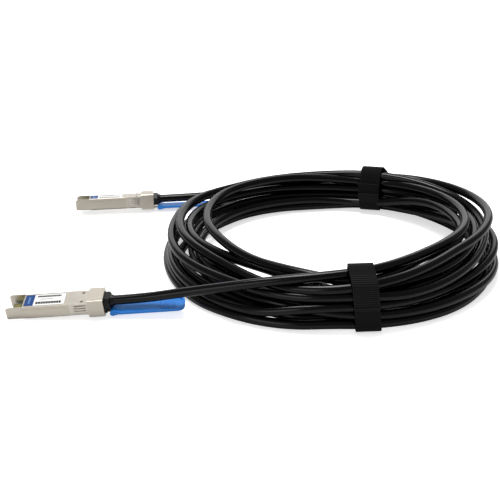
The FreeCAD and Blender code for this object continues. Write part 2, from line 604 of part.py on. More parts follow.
def make_latch_slider():
    """Stamped slider: two arms with guide tongues, a lifting bar between them, lugs for the springs."""
    arm_start = BAR_AT[0] - 0.45
    arm = box(arm_start, SLIDER_WEB + 0.5, SLIDER_ARM_INSIDE, SLIDER_ARM_OUTSIDE, SLIDER_BOTTOM, SLIDER_TOP)
    tongue = box(arm_start, CAGE_STOP + COLLAR_LENGTH, SLIDER_ARM_OUTSIDE - 0.2, SLIDER_ARM_OUTSIDE + SLIDER_TONGUE,
                 SLIDER_TOP - SLIDER_TONGUE_HEIGHT, SLIDER_TOP)
    lug = box(arm_start, BAR_AT[0] + SPRING_LUG, SPRING_SIDE - 0.55, SPRING_SIDE + 0.4,
              SLIDER_TOP - SLIDER_TONGUE_HEIGHT, SPRING_HEIGHT + 0.5)
    bar = rod_y(BAR_AT[0], BAR_AT[1], BAR_RADIUS, -SLIDER_ARM_INSIDE - 0.2, SLIDER_ARM_INSIDE + 0.2)
    web = across(SLIDER_ARM_OUTSIDE, SLIDER_WEB, CAGE_STOP + COLLAR_LENGTH + 1.0,
                 SLIDER_BOTTOM, SLIDER_BOTTOM + SLIDER_WEB_THICKNESS)
    stem = across(SLIDER_ARM_INSIDE, CAGE_STOP + COLLAR_LENGTH, SLIDER_END, SLIDER_BOTTOM,
                  SLIDER_BOTTOM + SLIDER_WEB_THICKNESS)
    slider = fuse([web, stem, bar] + both_sides(arm) + both_sides(tongue) + both_sides(lug))
    hole = rod_z(TAB_POST_AT, 0, TAB_POST_RADIUS + FIT, -COLLAR_BELOW - 2, COLLAR_BELOW)
    return slider.cut(hole)


def facet(*points):
    return Part.Face(Part.makePolygon(list(points) + [points[0]]))


def coil_spring(start, end, side):
    """A compression spring of square wire along x, as a closed faceted solid."""
    count = SPRING_TURNS * SPRING_STEPS
    sections = []
    for index in range(count + 1):
        angle = 2 * math.pi * index / SPRING_STEPS
        middle = start + SPRING_WIRE + (end - start - 2 * SPRING_WIRE) * index / count
        section = []
        for along, out in ((-1, -1), (1, -1), (1, 1), (-1, 1)):
            reach = SPRING_RADIUS + out * SPRING_WIRE
            section.append(Vector(middle + along * SPRING_WIRE, side * SPRING_SIDE + reach * math.cos(angle),
                                  SPRING_HEIGHT + reach * math.sin(angle)))
        sections.append(section)
    faces = [facet(*sections[0]), facet(*sections[-1])]
    for here, onward in zip(sections, sections[1:]):
        for corner in range(4):
            beside = (corner + 1) % 4
            faces.append(facet(here[corner], here[beside], onward[beside]))
            faces.append(facet(here[corner], onward[beside], onward[corner]))
    spring = Part.Solid(Part.Shell(faces))
    if spring.Volume < 0:
        spring.reverse()
    return spring


def make_return_springs():
    start, end = spring_span()
    return Part.makeCompound([coil_spring(start, end, side) for side in (-1, 1)])


def make_pull_tab():
    """Moulded tab: a thick root round the slider's stem, a neck, and a paddle under the cable."""
    half = TAB_WIDTH / 2
    root = rod_y(TAB_ROOT_AT[0], TAB_ROOT_AT[1], TAB_ROOT_RADIUS, -half + 0.6, half - 0.6)
    neck_end = TAB_ROOT_AT[0] + TAB_NECK
    low = TAB_TOP - TAB_THICKNESS
    neck = side_profile([(TAB_ROOT_AT[0] + 0.4, TAB_ROOT_AT[1] - TAB_ROOT_RADIUS + 0.1), (neck_end, low), (neck_end, TAB_TOP),
                         (TAB_ROOT_AT[0], TAB_ROOT_AT[1] + TAB_ROOT_RADIUS - 0.05)], -half + 0.6, half - 0.6)
    paddle = across(half, neck_end - 1.2, TAB_END, low, TAB_TOP)
    paddle = paddle.makeFillet(TAB_CORNER, upright_edges(paddle, lambda point: point.x > TAB_END - 0.01))
    paddle = paddle.makeFillet(1.0, upright_edges(paddle, lambda point: point.x < neck_end))
    inner = across(half - TAB_RIM_WIDTH, GRIP_START - 2, TAB_END - TAB_RIM_WIDTH, TAB_TOP - TAB_RIM, TAB_TOP + 1)
    inner = inner.makeFillet(TAB_CORNER - TAB_RIM_WIDTH, upright_edges(inner, lambda point: point.x > GRIP_START))
    paddle = paddle.cut(inner)
    ribs = []
    for index in range(GRIP_RIBS):
        x = GRIP_START + index * GRIP_PITCH
        ribs.append(across(half - 2.4, x - 0.35, x + 0.35, TAB_TOP - TAB_RIM - 0.1, TAB_TOP - TAB_RIM + GRIP_HEIGHT))
    tab = fuse([root, neck, paddle] + ribs)
    # the pocket that the slider's stem is locked in, with a post through the stem's hole
    stem_room = across(SLIDER_ARM_INSIDE + FIT, TAB_ROOT_AT[0] - 3, SLIDER_END + FIT,
                       SLIDER_BOTTOM - FIT, SLIDER_BOTTOM + SLIDER_WEB_THICKNESS + FIT)
    post = rod_z(TAB_POST_AT, 0, TAB_POST_RADIUS, SLIDER_BOTTOM - 0.4, SLIDER_BOTTOM + 1.2)
    clear_front = across(TAB_WIDTH, CAGE_STOP, TAB_ROOT_AT[0] - TAB_ROOT_RADIUS, -4, 4)
    return fuse([tab.cut(stem_room), post.cut(clear_front)])


def upright_edges(shape, test):
    found = []
    for edge in shape.Edges:
        a = edge.Vertexes[0].Point
        b = edge.Vertexes[-1].Point
        if abs(a.x - b.x) < 1e-6 and abs(a.y - b.y) < 1e-6 and abs(a.z - b.z) > 1e-6 and test(a):
            found.append(edge)
    return found


# ---------------------------------------------------------------- cable

def rounded_path(points):
    """Straight runs joined by tangent arcs, each as large as its two runs allow."""
    edges = []
    radii = []
    previous = points[0]
    for before, corner, after in zip(points, points[1:], points[2:]):
        back = before - corner
        onward = after - corner
        turn = math.pi - back.getAngle(onward)
        reach = ARC_SHARE * min(back.Length, onward.Length)
        radii.append(reach / math.tan(turn / 2))
        back.normalize()
        onward.normalize()
        start = corner + back * reach
        end = corner + onward * reach
        bisector = back + onward
        bisector.normalize()
        to_centre = radii[-1] / math.cos(turn / 2)
        middle = corner + bisector * (to_centre - radii[-1])
        edges.append(Part.LineSegment(previous, start).toShape())
        edges.append(Part.Arc(start, middle, end).toShape())
        previous = end
    edges.append(Part.LineSegment(previous, points[-1]).toShape())
    return Part.Wire(edges), radii


def make_lead(name, points):
    path, radii = rounded_path(points)
    direction = points[1] - points[0]
    section = Part.Wire(Part.makeCircle(CABLE_DIAMETER / 2, points[0], direction))
    tube = path.makePipeShell([section], True, True)
    expected = math.pi * (CABLE_DIAMETER / 2) ** 2 * path.Length
    print(name, "lead length %.1f" % path.Length, "radii", [round(radius) for radius in radii],
          "volume ratio %.4f" % (tube.Volume / expected), "valid", tube.isValid())
    return tube


def oval_block(reach, end_radius, height):
    """Upright block whose outline is four tangent arcs: two round ends and two flatter sides."""
    reach_x, reach_y = reach
    end_centre = reach_x - end_radius
    side_radius = (end_centre ** 2 + reach_y ** 2 - end_radius ** 2) / (2 * (reach_y - end_radius))
    side_centre = side_radius - reach_y
    join = math.atan2(side_centre, end_centre)
    arcs = []
    for turn, offset, radius, half in (
            (0, end_centre, end_radius, join), (90, -side_centre, side_radius, math.pi / 2 - join),
            (180, end_centre, end_radius, join), (270, -side_centre, side_radius, math.pi / 2 - join)):
        points = [Vector(offset + radius * math.cos(angle), radius * math.sin(angle), 0)
                  for angle in (-half, 0, half)]
        arc = Part.Arc(*points).toShape()
        arc.rotate(Vector(0, 0, 0), Vector(0, 0, 1), turn)
        arcs.append(arc)
    return Part.Face(Part.Wire(arcs)).extrude(Vector(0, 0, height))


def rounded_block(length, width, z0, z1, corner):
    block = box(-length / 2, length / 2, -width / 2, width / 2, z0, z1)
    return block.makeFillet(corner, edges_along_x(block, lambda middle: True))


def placed_at(shape, place, turn):
    moved = shape.copy()
    moved.Placement = Placement(place, Rotation(Vector(0, 0, 1), turn)).multiply(moved.Placement)
    return moved


def make_coil():
    """One closed ring of the coil's outer form, drawn in where each tie holds it."""
    tallest = max(COIL_HEIGHT_NEAR, COIL_HEIGHT_FAR)
    ring = oval_block(COIL_REACH, COIL_END_RADIUS, tallest)
    ring = ring.cut(rod_z(0, 0, COIL_INSIDE, 0, tallest))
    # the top slopes down from the near side to the far side
    far = COIL_REACH[1]
    wide = 2 * COIL_REACH[0]
    slope = [Vector(-wide, -far, COIL_HEIGHT_NEAR), Vector(-wide, far, COIL_HEIGHT_FAR),
             Vector(-wide, far, 2 * tallest), Vector(-wide, -far, 2 * tallest)]
    ring = ring.cut(Part.Face(Part.makePolygon(slope + slope[:1])).extrude(Vector(2 * wide, 0, 0)))
    rims = [edge for edge in ring.Edges if abs(edge.tangentAt(edge.FirstParameter).z) < 0.5]
    ring = ring.makeChamfer(COIL_EDGE, rims)
    ring.translate(COIL_CENTRE)
    for place, turn, width, height in TIES.values():
        around = box(-TIE_WIDTH / 2, TIE_WIDTH / 2, -2 * width, 2 * width, -1, 2 * tallest)
        ring = ring.cut(placed_at(around, COIL_CENTRE + place, turn))
        core = rounded_block(TIE_WIDTH + 2, width, TIE_THICKNESS, TIE_THICKNESS + height, TIE_CORNER - TIE_THICKNESS)
        ring = ring.fuse(placed_at(core, COIL_CENTRE + place, turn))
    return ring


def make_tie(name):
    """Hook-and-loop strap: a closed band with its free end lying on the outside."""
    place, turn, width, height = TIES[name]
    outer = rounded_block(TIE_WIDTH, width + 2 * TIE_THICKNESS, 0, height + 2 * TIE_THICKNESS, TIE_CORNER)
    inner = rounded_block(TIE_WIDTH + 2, width, TIE_THICKNESS, TIE_THICKNESS + height, TIE_CORNER - TIE_THICKNESS)
    band = outer.cut(inner)
    top = height + 2 * TIE_THICKNESS
    tail = box(-TIE_WIDTH / 2, TIE_WIDTH / 2, -width / 2 + 1.5, width / 2 - 1.5, top - 0.1, top + TIE_TAIL_THICKNESS)
    return placed_at(fuse([band, tail]), COIL_CENTRE + place, turn)


# ---------------------------------------------------------------- assembly

MODULE_PIECES = {
    "housing_base": make_housing_base,
    "housing_cover": make_housing_cover,
    "spring_clip": make_spring_clip,
    "circuit_board": make_circuit_board,
    "contact_fingers": make_contact_fingers,
    "memory_chip": make_memory_chip,
    "capacitors": make_capacitors,
    "signal_wires": make_signal_wires,
    "crimp_ferrule": make_ferrule,
    "strain_relief": make_strain_relief,
    "label": make_label,
    "housing_screws": make_housing_screws,
    "latch_lever": make_latch_lever,
    "latch_pin": make_latch_pin,
    "latch_slider": make_latch_slider,
    "return_springs": make_return_springs,
    "pull_tab": make_pull_tab,
}


def module_placement(name, pieces):
    """Turn the module as it lies, then lower it until its lowest point is on the floor."""
    place, yaw, pitch, roll = MODULE_POSES[name]
    turn = (Rotation(Vector(0, 0, 1), yaw)
            .multiply(Rotation(Vector(0, 1, 0), pitch))
            .multiply(Rotation(Vector(1, 0, 0), roll)))
    tilted = Part.makeCompound(list(pieces.values()))
    tilted.Placement = Placement(Vector(0, 0, 0), turn)
    lowest = tilted.optimalBoundingBox(True, False).ZMin
    return Placement(Vector(place.x, place.y, -lowest), turn)


def save(shape, node):
    if not shape.isValid() or shape.Volume <= 0:
        print("INVALID", node)
    shape.exportStep("parts/" + node + ".step")
    print("%-26s solids %2d volume %10.3f" % (node, len(shape.Solids), shape.Volume))


def main():
    os.makedirs("parts", exist_ok=True)
    pieces = {piece: make() for piece, make in MODULE_PIECES.items()}
    module_boxes = FreeCAD.BoundBox()
    for side in MODULE_POSES:
        placement = module_placement(side, pieces)
        for piece, shape in pieces.items():
            moved = shape.copy()
            moved.Placement = placement.multiply(shape.Placement)
            module_boxes.add(moved.optimalBoundingBox(True, False))
            save(moved, side + "_" + piece)
        start = placement.multVec(Vector(FERRULE_START, 0, CABLE_HEIGHT))
        bend = placement.multVec(Vector(LEAD_STRAIGHT, 0, CABLE_HEIGHT))
        leave = placement.multVec(Vector(CAGE_STOP + COLLAR_LENGTH + BOOT_LENGTH, 0, CABLE_HEIGHT))
        print(side, "placement", placement)
        print(side, "cable leaves at", leave, "first bend", bend)
        save(make_lead(side, [start, bend] + LEAD_ROUTES[side]), "cable_lead_" + side)
        save(make_tie(side), "cable_tie_" + side)
    save(make_coil(), "cable_coil")
    print("modules' box", module_boxes)


main()
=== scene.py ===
# %% [markdown]
# # A direct attach copper cable
# A copper cable with a pluggable module at each end, wound into a coil and held by two ties. Its
# rigid pieces come from a packed CAD model, and this notebook gives them their finishes. It draws
# afresh only what CAD solids can't show well: the wound cable, the cloth ties, the printed labels
# and the round-wire springs.
#
# The packed model is loaded first, because it is the frame that everything else is placed in. All
# lengths are metres unless a name ends in MM or a comment says otherwise.

# %% Load the frame
import json
import math

import bpy
import bmesh
from mathutils import Matrix, Vector


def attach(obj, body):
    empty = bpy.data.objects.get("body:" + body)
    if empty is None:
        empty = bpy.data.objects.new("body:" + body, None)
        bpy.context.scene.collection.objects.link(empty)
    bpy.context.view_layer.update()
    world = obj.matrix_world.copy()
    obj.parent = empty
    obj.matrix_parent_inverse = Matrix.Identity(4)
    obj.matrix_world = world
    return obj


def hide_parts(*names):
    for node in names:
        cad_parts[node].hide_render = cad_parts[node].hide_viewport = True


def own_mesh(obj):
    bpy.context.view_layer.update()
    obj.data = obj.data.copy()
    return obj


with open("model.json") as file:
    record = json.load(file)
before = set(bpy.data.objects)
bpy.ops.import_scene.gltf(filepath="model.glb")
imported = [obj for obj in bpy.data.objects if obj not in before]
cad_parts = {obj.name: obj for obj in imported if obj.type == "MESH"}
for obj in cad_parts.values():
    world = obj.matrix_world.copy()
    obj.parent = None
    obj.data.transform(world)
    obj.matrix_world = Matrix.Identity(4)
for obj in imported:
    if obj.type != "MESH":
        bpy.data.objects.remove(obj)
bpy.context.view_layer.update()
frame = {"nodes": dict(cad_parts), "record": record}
nodes = frame["nodes"]

# %% [markdown]
# ## Colours and shader nodes
# A paint maker gives a colour as six hex digits, but a renderer adds up light, so the digits have
# to be turned from the screen's scale to a linear one. One function does that for every colour.
# Node trees could be drawn by hand in the editor. Here a second function adds one node and wires
# it, so that each finish below reads as a short list of steps.

# %% Colours
def linear(hex_colour):
    """An sRGB colour such as 2A78C8 as the linear values that Blender works in."""
    channels = [int(hex_colour[i:i + 2], 16) / 255 for i in (0, 2, 4)]
    straight = [c / 12.92 if c <= 0.04045 else ((c + 0.055) / 1.055) ** 2.4 for c in channels]
    return (*straight, 1.0)


print("mid grey 808080 is", round(linear("808080")[0], 3), "of full light")

# %% Shader nodes
def add_node(tree, kind, inputs=None, **settings):
    """Add one node. Each of its inputs gets a value, or the output that feeds it."""
    node = tree.nodes.new(kind)
    for name, value in settings.items():
        setattr(node, name, value)
    for socket, value in (inputs or {}).items():
        if isinstance(value, bpy.types.NodeSocket):
            tree.links.new(value, node.inputs[socket])
        else:
            node.inputs[socket].default_value = value
    return node


# the colour sockets of a Mix node, whose names are also those of its number sockets
MIX_A, MIX_B, MIX_RESULT = 6, 7, 2
print("add_node:", add_node.__doc__)

# %% [markdown]
# ## A finish with a fine grain
# No real surface is one flat value. A casting is pitted, a moulding is faintly cloudy and rolled
# steel has streaks. Such things are too small to model, so one noise pattern varies the colour, the
# relief and, where it is asked for, the gloss together. The grit of a casting or a mould is nearer
# 0.1 mm, too fine to show, so the grains below are drawn 0.2 to 1.6 mm across. What is the same all
# over a surface, such as its metallic share, stays on the shader's own sockets.

# %% Finishes
GRAIN_DETAIL = 3.0
GRAIN_STRENGTH = 0.6


def new_finish(name, colour, roughness, metallic=0.0, ior=None, mirror=0.5):
    """A material with constant values. mirror is 0.5 where the IOR alone says how much it mirrors."""
    material = bpy.data.materials.new(name)
    material.use_nodes = True
    shader = material.node_tree.nodes["Principled BSDF"]
    shader.inputs["Base Color"].default_value = linear(colour)
    shader.inputs["Roughness"].default_value = roughness
    shader.inputs["Metallic"].default_value = metallic
    shader.inputs["Specular IOR Level"].default_value = mirror
    if ior:
        shader.inputs["IOR"].default_value = ior
    return material, shader


def grained_finish(name, dark, light, roughness, grain_mm, relief_mm, gloss=None, stretch=(1, 1, 1),
                   **constants):
    """A finish that varies from dark to light over grains whose size is in millimetres."""
    material, shader = new_finish(name, dark, roughness, **constants)
    tree = material.node_tree
    place = add_node(tree, "ShaderNodeTexCoord").outputs["Object"]
    stretched = add_node(tree, "ShaderNodeMapping", {"Vector": place, "Scale": stretch}).outputs["Vector"]
    grain = add_node(tree, "ShaderNodeTexNoise",
                     {"Vector": stretched, "Scale": 1000 / grain_mm, "Detail": GRAIN_DETAIL}).outputs["Fac"]
    colour = add_node(tree, "ShaderNodeMix", {"Factor": grain, MIX_A: linear(dark), MIX_B: linear(light)},
                      data_type="RGBA")
    tree.links.new(colour.outputs[MIX_RESULT], shader.inputs["Base Color"])
    if gloss:
        spread = add_node(tree, "ShaderNodeMapRange",
                          {"Value": grain, "To Min": gloss[0], "To Max": gloss[1]})
        tree.links.new(spread.outputs["Result"], shader.inputs["Roughness"])
    bump = add_node(tree, "ShaderNodeBump",
                    {"Height": grain, "Strength": GRAIN_STRENGTH, "Distance": relief_mm / 1000})
    tree.links.new(bump.outputs["Normal"], shader.inputs["Normal"])
    return material


print("grained_finish:", grained_finish.__doc__)

# %% [markdown]
# ## The metals
# The module's shells are zinc, die-cast and nickel plated. Its clip and latch are stamped from
# sheet steel, and the springs are drawn wire. All are metals, so their colour is the colour of
# their mirror image, they are fully metallic, and they keep the default IOR. What tells them apart
# is the grain that the making left: pits in a casting, and streaks along a rolled sheet.

# %% Metals
STREAKS = (0.2, 1, 1)    # rolled sheet: the grain is five times as long as it is wide

# nickel on a zinc casting: a warm pale grey, satin, with a fine cloudiness from the mould
zinc = grained_finish("nickel_plated_zinc_casting", "CCC4B6", "DDD6C9", 0.36, grain_mm=0.6,
                      relief_mm=0.008, gloss=(0.3, 0.42), metallic=1.0)
# plated spring steel: brighter and smoother than the casting, with soft streaks. Real streaks are
# about 0.1 mm wide, too fine to show, so they are drawn 1.2 mm wide here and in the next steel
clip_steel = grained_finish("stamped_plated_steel", "D6D0C4", "E4DED3", 0.3, grain_mm=1.2,
                            relief_mm=0.001, gloss=(0.28, 0.38), stretch=STREAKS, metallic=1.0)
# bare stainless sheet: a cooler, darker grey than the plated pieces
latch_steel = grained_finish("stamped_stainless_steel", "B4B1AA", "C6C3BD", 0.32, grain_mm=1.2,
                             relief_mm=0.001, gloss=(0.26, 0.38), stretch=STREAKS, metallic=1.0)
# drawn wire: neutral grey, with a bright line along each turn
spring_wire = grained_finish("drawn_spring_wire", "9C9C9C", "B4B4B4", 0.3, grain_mm=0.3, relief_mm=0.003,
                             metallic=1.0)
# zinc plating on a screw: a dull grey, mottled by the plating bath
screw_zinc = grained_finish("zinc_plated_screw", "8E8E8A", "A6A6A0", 0.35, grain_mm=0.3, relief_mm=0.003,
                            metallic=1.0)
# drawn copper: pink-brown, with a soft sheen
copper = grained_finish("drawn_copper_ferrule", "B4714F", "C98866", 0.3, grain_mm=0.6, relief_mm=0.004,
                        metallic=1.0)
print("metals", [metal.name for metal in (zinc, clip_steel, latch_steel, spring_wire, screw_zinc, copper)])

# %% [markdown]
# ## The circuit board and what is soldered to it
# The board is glass laminate under a green lacquer, which is poured on and so lies slightly wavy.
# Its contact pads are gold over nickel. The parts on it are moulded epoxy and fired ceramic, both
# matt. A board could carry drawn traces, but only its edge shows in the open mating bay, so a
# cloudy green is enough.

# %% Board
# lacquer over copper and glass: a deep green, clouded with a lighter one
solder_mask = grained_finish("green_solder_mask", "0E4A24", "176233", 0.3, grain_mm=1.6, relief_mm=0.01,
                             ior=1.5)
# thin gold plating: a greyish yellow, satin rather than bright
gold_pads = grained_finish("gold_plated_pads", "A98F5C", "C9B27E", 0.32, grain_mm=0.4, relief_mm=0.002,
                           metallic=1.0)
# epoxy from a spark-eroded mould: an even, dusty black
epoxy = grained_finish("moulded_epoxy_package", "17181A", "222325", 0.55, grain_mm=0.2, relief_mm=0.006,
                       ior=1.55)
# fired ceramic: tan, with a faint speckle
ceramic = grained_finish("fired_capacitor_ceramic", "8A6F50", "A1866A", 0.45, grain_mm=0.3, relief_mm=0.004,
                         ior=1.6)
# foil round each wire pair: silvery, with crinkles about 0.7 mm long
foil_pair = grained_finish("foil_wrapped_pair", "B9BABC", "D2D3D5", 0.32, grain_mm=0.7, relief_mm=0.02,
                           metallic=1.0)
print("on the board", [finish.name for finish in (solder_mask, gold_pads, epoxy, ceramic, foil_pair)])

# %% [markdown]
# ## The plastics
# The pull tab is moulded nylon, the grip behind each module is soft moulded vinyl, and the cable's
# jacket is vinyl pushed hot through a die. Nylon and vinyl have an IOR near 1.53. Each of them
# carries a fine matt texture that spreads its reflections, so it mirrors less than a polished
# piece would, and its mirror value is lowered from 0.5. What looks grey on the jacket is the
# lamps' reflection, so its own colour is almost black.

# %% Plastics
VINYL_IOR = NYLON_IOR = 1.53
# soft vinyl from a textured mould: black, dull, without a sharp highlight
boot_vinyl = grained_finish("moulded_soft_vinyl_boot", "070708", "0D0D0F", 0.42, grain_mm=0.35,
                            relief_mm=0.008, gloss=(0.36, 0.5), ior=VINYL_IOR, mirror=0.26)
# dyed nylon: a clear blue, satin, slightly cloudy where the melt flowed
tab_nylon = grained_finish("moulded_blue_nylon_tab", "1A70C6", "2580D6", 0.38, grain_mm=1.2,
                           relief_mm=0.008, gloss=(0.3, 0.44), ior=NYLON_IOR, mirror=0.34)
# extruded vinyl: black and semi-gloss, with a soft line of light along every strand
jacket = grained_finish("extruded_black_vinyl_jacket", "020202", "040404", 0.19, grain_mm=0.8,
                        relief_mm=0.003, gloss=(0.16, 0.22), ior=VINYL_IOR, mirror=0.24)
# varnished polyester film: a flat, even sheet whose print is laid on further down
film, film_shader = new_finish("printed_polyester_label", "E9E9E7", 0.42, ior=1.55, mirror=0.25)
print("plastics", [plastic.name for plastic in (boot_vinyl, tab_nylon, jacket, film)])

# %% [markdown]
# ## Finishing the CAD pieces
# The record names a material slot for every CAD piece, such as die_cast_metal. A piece's shape is
# never touched: only the material in its slot is swapped for one of the finishes above.

# %% Give each CAD piece its finish
finish_of = {
    "die_cast_metal": zinc, "clip_steel": clip_steel, "board_green": solder_mask, "gold_plate": gold_pads,
    "chip_black": epoxy, "capacitor_ceramic": ceramic, "wire_insulation": foil_pair, "ferrule_copper": copper,
    "boot_black": boot_vinyl, "label_film": film, "screw_steel": screw_zinc, "latch_steel": latch_steel,
    "spring_steel": spring_wire, "tab_blue": tab_nylon, "jacket_black": jacket,
}
for part in frame["record"]["subparts"]:
    wanted = finish_of.get(part["material_slot"])
    if wanted:
        materials = nodes[part["node"]].data.materials
        materials.clear()
        materials.append(wanted)
print("slots with a finish", len(finish_of))

# %% [markdown]
# ## Each module's own frame
# The two modules lie at different angles, and their labels and springs are easiest to place in the
# module's own directions. The record holds the axes of the two latch joints: the pull slide runs
# along the module and the latch hinge runs across it. Two crossed axes and one known point are all
# that a frame needs, so nothing has to be measured.

# %% Module frames
HINGE_ALONG, HINGE_UP = 0.039, 0.00095    # the hinge, from the mating end and above the underside
joints = {joint["name"]: joint for joint in frame["record"]["behaviour"]["joints"]}


def module_frame(side):
    """x from the mating end to the cable, y across and z up."""
    hinge = joints[side + "_latch_hinge"]
    along = Vector(joints[side + "_pull_slide"]["axis"]).normalized()
    across = -Vector(hinge["axis"]).normalized()
    up = along.cross(across)
    matrix = Matrix((along, across, up)).transposed().to_4x4()
    matrix.translation = Vector(hinge["pos_m"]) - along * HINGE_ALONG - up * HINGE_UP
    return matrix


modules = {side: module_frame(side) for side in ("near", "far")}
for side, matrix in modules.items():
    print(side, "mating end, mm", [round(v * 1000, 2) for v in matrix.translation])

# %% [markdown]
# ## The camera
# The camera stands half a metre from the coil and a little above it. It looks straight along y and
# only tips down, which keeps upright edges close to upright.

# %% Camera
TIPPED_DOWN = 25.84    # degrees below level
SENSOR_MM, LENS_MM = 36.0, 61.63
camera_data = bpy.data.cameras.new("camera")
camera_data.sensor_width = SENSOR_MM
camera_data.lens = LENS_MM
camera = bpy.data.objects.new("camera", camera_data)
camera.location = (0.0832, -0.51345, 0.2518)
camera.rotation_euler = (math.radians(90 - TIPPED_DOWN), 0, 0)
bpy.context.scene.collection.objects.link(camera)
bpy.context.scene.camera = camera
print("camera", round(math.degrees(camera_data.angle), 1), "degrees wide")

# %% [markdown]
# ## How a wound cable is described
# A coil of loose turns is easiest to describe the way a hand winds it: going round, how far out is
# the cable now, and how high does it lie? Each turn below starts at the near tie, runs round the
# right side to the far tie, and comes back round the left. A row holds its resting places, about
# eighteen to a turn, each as (angle, distance from the coil's middle, height), in degrees and
# millimetres. Between two ties the turns drift apart, sag and climb over each other, which is what
# makes the coil look hand wound. A plain helix would be shorter to write, but it would look like a
# machine's coil. The places were read off a real coil, turned into angles and distances, and then
# moved until the strands and the gaps between them fell as they do there.

# %% The turns of the coil
COIL_CENTRE = (0.1358, -0.00725)
CABLE = 0.0058    # the cable's diameter
NEAR, FAR = -82.5, 67.5    # the angles of the two ties
TURNS = [
    [(NEAR, 83, 33.2), (-65, 76, 32), (-50, 73.2, 31), (-30, 76.2, 30.5), (-8, 84, 29.5), (8, 88, 29),
     (40, 90, 26.2),
     (FAR, 91.5, 21.6), (80, 86.2, 23.3), (95, 84.7, 25), (120, 84.3, 26.5), (150, 85.4, 27),
     (175, 81, 27), (205, 74.6, 27), (228, 75, 27), (246, 75.4, 27.5), (258, 79.3, 28.4)],
    [(NEAR, 84.8, 27.2), (-66, 77.6, 26.8), (-50, 70.6, 26.4), (-30, 76.8, 26.2), (-8, 82.4, 25),
     (8, 84, 24.2), (40, 85, 19), (55, 84.8, 12),
     (FAR, 85.2, 7), (80, 83.4, 7.6), (107, 80.5, 9.4), (134, 83, 9.8), (155, 84.8, 9.8), (182, 85.6, 11),
     (205, 84.8, 13.4), (225, 83.6, 14.6), (245, 84.8, 15), (258, 86, 16), (267, 86.7, 18.2)],
    [(NEAR, 85, 21.4), (-64, 83.4, 23.4), (-45, 84.5, 23), (-18, 88.5, 23.6), (2, 92.8, 24.3),
     (30, 95, 21), (50, 93.3, 18.2),
     (FAR, 90.8, 15.8), (90, 86.4, 16.6), (106, 87.5, 17), (135, 93, 17.3), (158, 96.4, 18),
     (173, 93.8, 19), (192, 85.2, 20), (206, 78.5, 21), (228, 71.8, 22), (242, 74.2, 23.4),
     (255, 79.2, 22.6), (267, 80.8, 20.2)],
    [(NEAR, 85.3, 15.8), (-64, 84.5, 18.4), (-40, 84.3, 17.2), (-18, 87.5, 17.8), (0, 92.8, 18.2),
     (20, 92, 13.8), (40, 89.6, 8.6),
     (FAR, 91, 4), (80, 85, 4), (90, 81, 4), (107, 81.8, 4), (134, 86.2, 4), (155, 89.3, 4),
     (176, 98.6, 4.4), (192, 98, 6.6), (212, 93.4, 7.8), (240, 90.9, 7.4), (251, 90.2, 5.6),
     (263, 86.8, 6.2)],
    [(NEAR, 85.3, 10.4), (-62, 85.8, 9.8), (-45, 86.5, 7.4), (-33, 92.8, 5), (-15, 97.2, 5.6),
     (0, 98.4, 8.8), (20, 97.5, 9.6), (45, 94, 10),
     (FAR, 91, 9.9), (90, 86.5, 10.2), (115, 90, 10), (138, 94.4, 9.3), (155, 93.6, 9.8), (170, 92, 10),
     (185, 89.8, 8.8), (205, 89, 9.8), (220, 89.8, 11.6), (240, 89.8, 12.6), (262, 90.6, 11.8)],
    [(NEAR, 91.2, 9.9), (-62, 94, 9.4), (-40, 97.8, 8.6), (-20, 102.8, 6.8), (-5, 105.4, 5.8),
     (12, 106.2, 5.4), (28, 105.4, 6.2), (45, 102.6, 8.8),
     (FAR, 96.8, 10.8), (90, 91, 10.8), (115, 98.6, 8), (140, 108, 3.5), (165, 107.8, 3.4),
     (183, 106.4, 3.2), (200, 105, 3.2), (216, 103.8, 3.2), (233, 99.5, 3.5), (250, 96, 3.7),
     (263, 92.3, 5.1)],
    [(NEAR, 91.3, 4.3), (-64, 93.3, 3.8), (-45, 96.4, 3.2), (-20, 100, 3.2), (0, 102, 3.2),
     (20, 102.2, 3.2), (45, 99.8, 3.2),
     (FAR, 96.8, 4.4), (95, 86.2, 3.4), (115, 93.4, 3.8), (130, 101, 5.8), (142, 103.4, 8),
     (165, 104, 8.3), (188, 103.4, 8.3), (206, 102.4, 8.2), (224, 100, 8.2), (241, 97.7, 9.1),
     (255, 94.5, 14.4), (267, 91.9, 16)],
    [(NEAR, 91.5, 16), (-60, 91, 14.8), (-46, 89.6, 12), (-32, 92.3, 11.5), (-13, 102, 14),
     (0, 106.4, 15), (25, 104.8, 15.6), (45, 100, 16.2),
     (FAR, 96.8, 17.4), (82, 92, 15.4), (105, 92.8, 14.4), (118, 94.8, 15.3), (135, 103.6, 19),
     (147, 107.2, 19.6), (160, 106.8, 18), (176, 104.2, 17), (190, 101.8, 16.8), (204, 97.2, 17),
     (225, 91.4, 18.2), (250, 92.2, 19.6)],
    [(NEAR, 91.4, 22.4), (-72, 93, 21.2), (-50, 91, 19.5), (-30, 92, 19.4), (-12, 95.5, 19.8),
     (5, 101.3, 20.8), (20, 103.6, 23.2), (38, 99.5, 25.8),
     (FAR, 91, 27.6), (80, 90.3, 26), (98, 90, 24.5), (120, 90.5, 24.4), (132, 92.2, 24),
     (142, 98.2, 23.2), (150, 101.6, 22.6), (160, 102.4, 22.4), (175, 99.4, 22), (193, 91.8, 21.8),
     (210, 84.3, 21), (224, 81.8, 20.2), (234, 84.3, 20.6), (249, 89.6, 23.2), (262, 91, 25.6)],
    [(NEAR, 91, 28.4), (-52, 83.8, 29), (-36, 83.7, 29.2), (-15, 93.5, 29.9), (2, 102.5, 30),
     (17, 107, 29), (36, 106.5, 27.3),
     (FAR, 97.2, 23.6), (80, 92.8, 21.6), (93, 92, 20.2)],
]
print("turns", len(TURNS), "resting places", sum(len(turn) for turn in TURNS))

